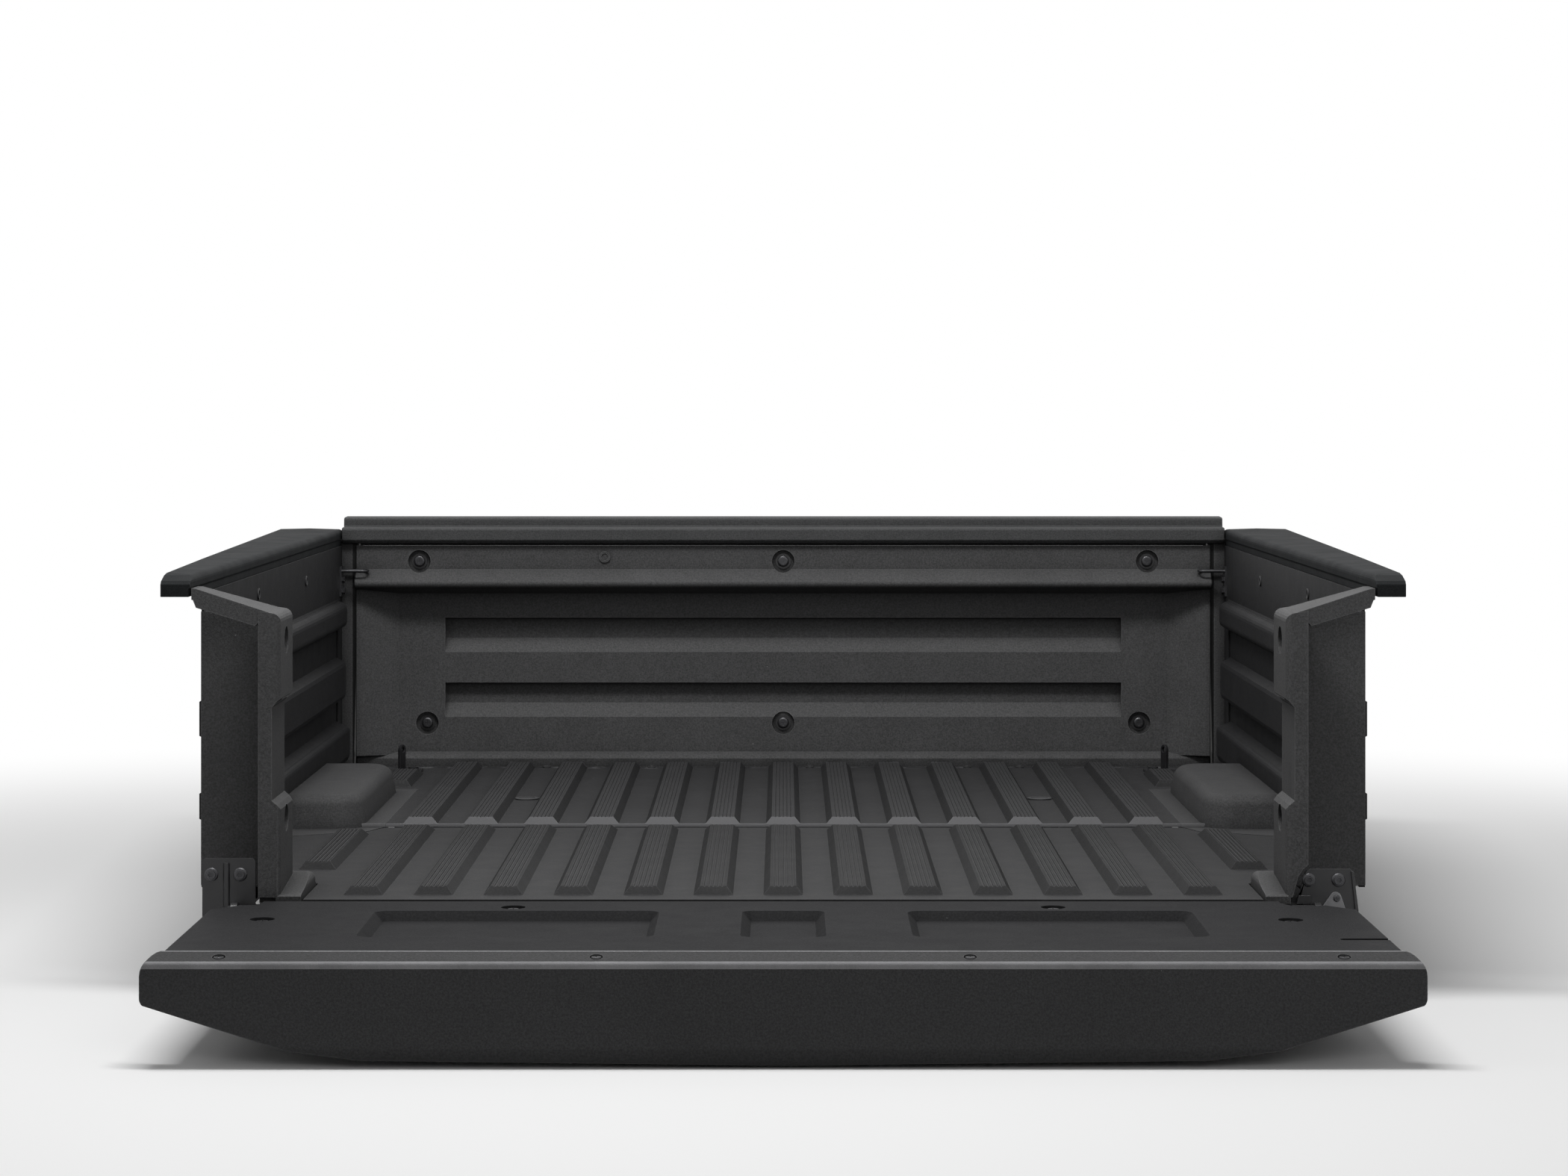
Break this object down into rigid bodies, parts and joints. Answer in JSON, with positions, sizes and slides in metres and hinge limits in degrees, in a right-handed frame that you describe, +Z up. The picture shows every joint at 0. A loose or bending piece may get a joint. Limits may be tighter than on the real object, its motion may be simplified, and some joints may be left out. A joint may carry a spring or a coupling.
{
  "type": "truck bed liner",
  "caption": "Moulded lining set for a pickup cargo bed: ribbed floor with a lift-up rear section, bulkhead, sides, rail caps, pillar trims and a lined drop-down tailgate.",
  "frame": {"origin": "middle of the rest face under the rear rail of the floor surround, 34 mm below the floor's surface and 32 mm in front of its rear edge", "axes": "+X to the right seen from behind the tailgate, +Y forward to the bulkhead, +Z up"},
  "size_m": [1.786, 2.116, 0.578],
  "materials": {
    "grained_plastic": "charcoal, fine pebble grain, matte",
    "satin_trim": "dark grey, finer grain, satin",
    "black_steel": "black coated sheet steel",
    "dark_hardware": "dark zinc-nickel plated steel",
    "seal_rubber": "matte EPDM rubber",
    "pan_paint": "satin charcoal coated sheet steel",
    "plug_plastic": "smooth dark plastic"
  },
  "bodies": {
    "bed": {"front_floor_panel": "grained_plastic", "wheel_arch_cover_left": "grained_plastic", "wheel_arch_cover_right": "grained_plastic", "side_panel_left": "grained_plastic", "side_panel_right": "grained_plastic", "bulkhead_panel": "grained_plastic", "bulkhead_top_trim": "satin_trim", "corner_post_left": "grained_plastic", "corner_post_right": "grained_plastic", "rail_cap_left": "satin_trim", "rail_cap_right": "satin_trim", "pillar_trim_left": "grained_plastic", "pillar_trim_right": "grained_plastic", "surround_rear_rail": "black_steel", "surround_left_rail": "black_steel", "surround_right_rail": "black_steel", "surround_front_rail": "black_steel", "floor_crossbars": "black_steel", "lid_seal": "seal_rubber", "floor_plugs": "plug_plastic", "floor_tie_down_left": "dark_hardware", "floor_tie_down_right": "dark_hardware", "floor_tie_down_bolts": "dark_hardware", "side_tie_down_left": "dark_hardware", "side_tie_down_right": "dark_hardware", "side_tie_down_bolts": "dark_hardware", "bulkhead_screws": "dark_hardware", "bulkhead_washers": "dark_hardware", "bulkhead_plug": "plug_plastic", "hinge_bracket_left": "black_steel", "hinge_bracket_right": "black_steel", "hinge_bracket_screws": "dark_hardware", "hinge_tab": "dark_hardware", "hinge_tab_screw": "dark_hardware", "tailgate_hinge_pins": "dark_hardware", "lid_hinge_leaves": "black_steel", "lid_hinge_pins": "dark_hardware", "trim_clips": "plug_plastic"},
    "floor_lid": {"rear_floor_lid": "grained_plastic", "lid_hinge_arms": "black_steel"},
    "tailgate": {"tailgate_liner": "grained_plastic", "tailgate_pan": "pan_paint", "tailgate_top_cap": "grained_plastic", "tailgate_hinge_eyes": "black_steel", "tailgate_liner_screws": "dark_hardware", "tailgate_cap_screws": "dark_hardware"}
  },
  "joints": [
    {"name": "tailgate_drop", "type": "hinge", "parent": "bed", "child": "tailgate", "pos_m": [0, -0.048, 0.02], "axis": [-1, 0, 0], "range_deg": [0, 90]},
    {"name": "floor_lid_lift", "type": "hinge", "parent": "bed", "child": "floor_lid", "pos_m": [0, 0.74, 0.029], "axis": [-1, 0, 0], "range_deg": [0, 60]}
  ]
}
